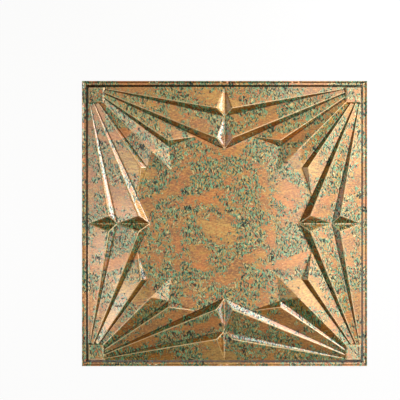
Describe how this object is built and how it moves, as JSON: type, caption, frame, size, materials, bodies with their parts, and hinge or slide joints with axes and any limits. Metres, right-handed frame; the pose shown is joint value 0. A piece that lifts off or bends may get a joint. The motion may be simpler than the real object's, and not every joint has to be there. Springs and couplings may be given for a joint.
{
  "type": "vinyl drop-in ceiling tile",
  "caption": "Square thermoformed vinyl ceiling tile with a faceted ray fan in each corner, a raised field, a stepped lip and an aged copper print; it drops into a suspended ceiling grid.",
  "frame": {"origin": "centre of the tile, on the plane of the lip's underside, which the tile lies on", "axes": "+Z out of the room face, +X and +Y along the sides"},
  "size_m": [0.6032, 0.6032, 0.0169],
  "materials": {
    "printed_vinyl": "rigid vinyl sheet with an aged copper and verdigris print, semi-gloss"
  },
  "bodies": {
    "root": {"ceiling_tile": "printed_vinyl"}
  },
  "joints": []
}
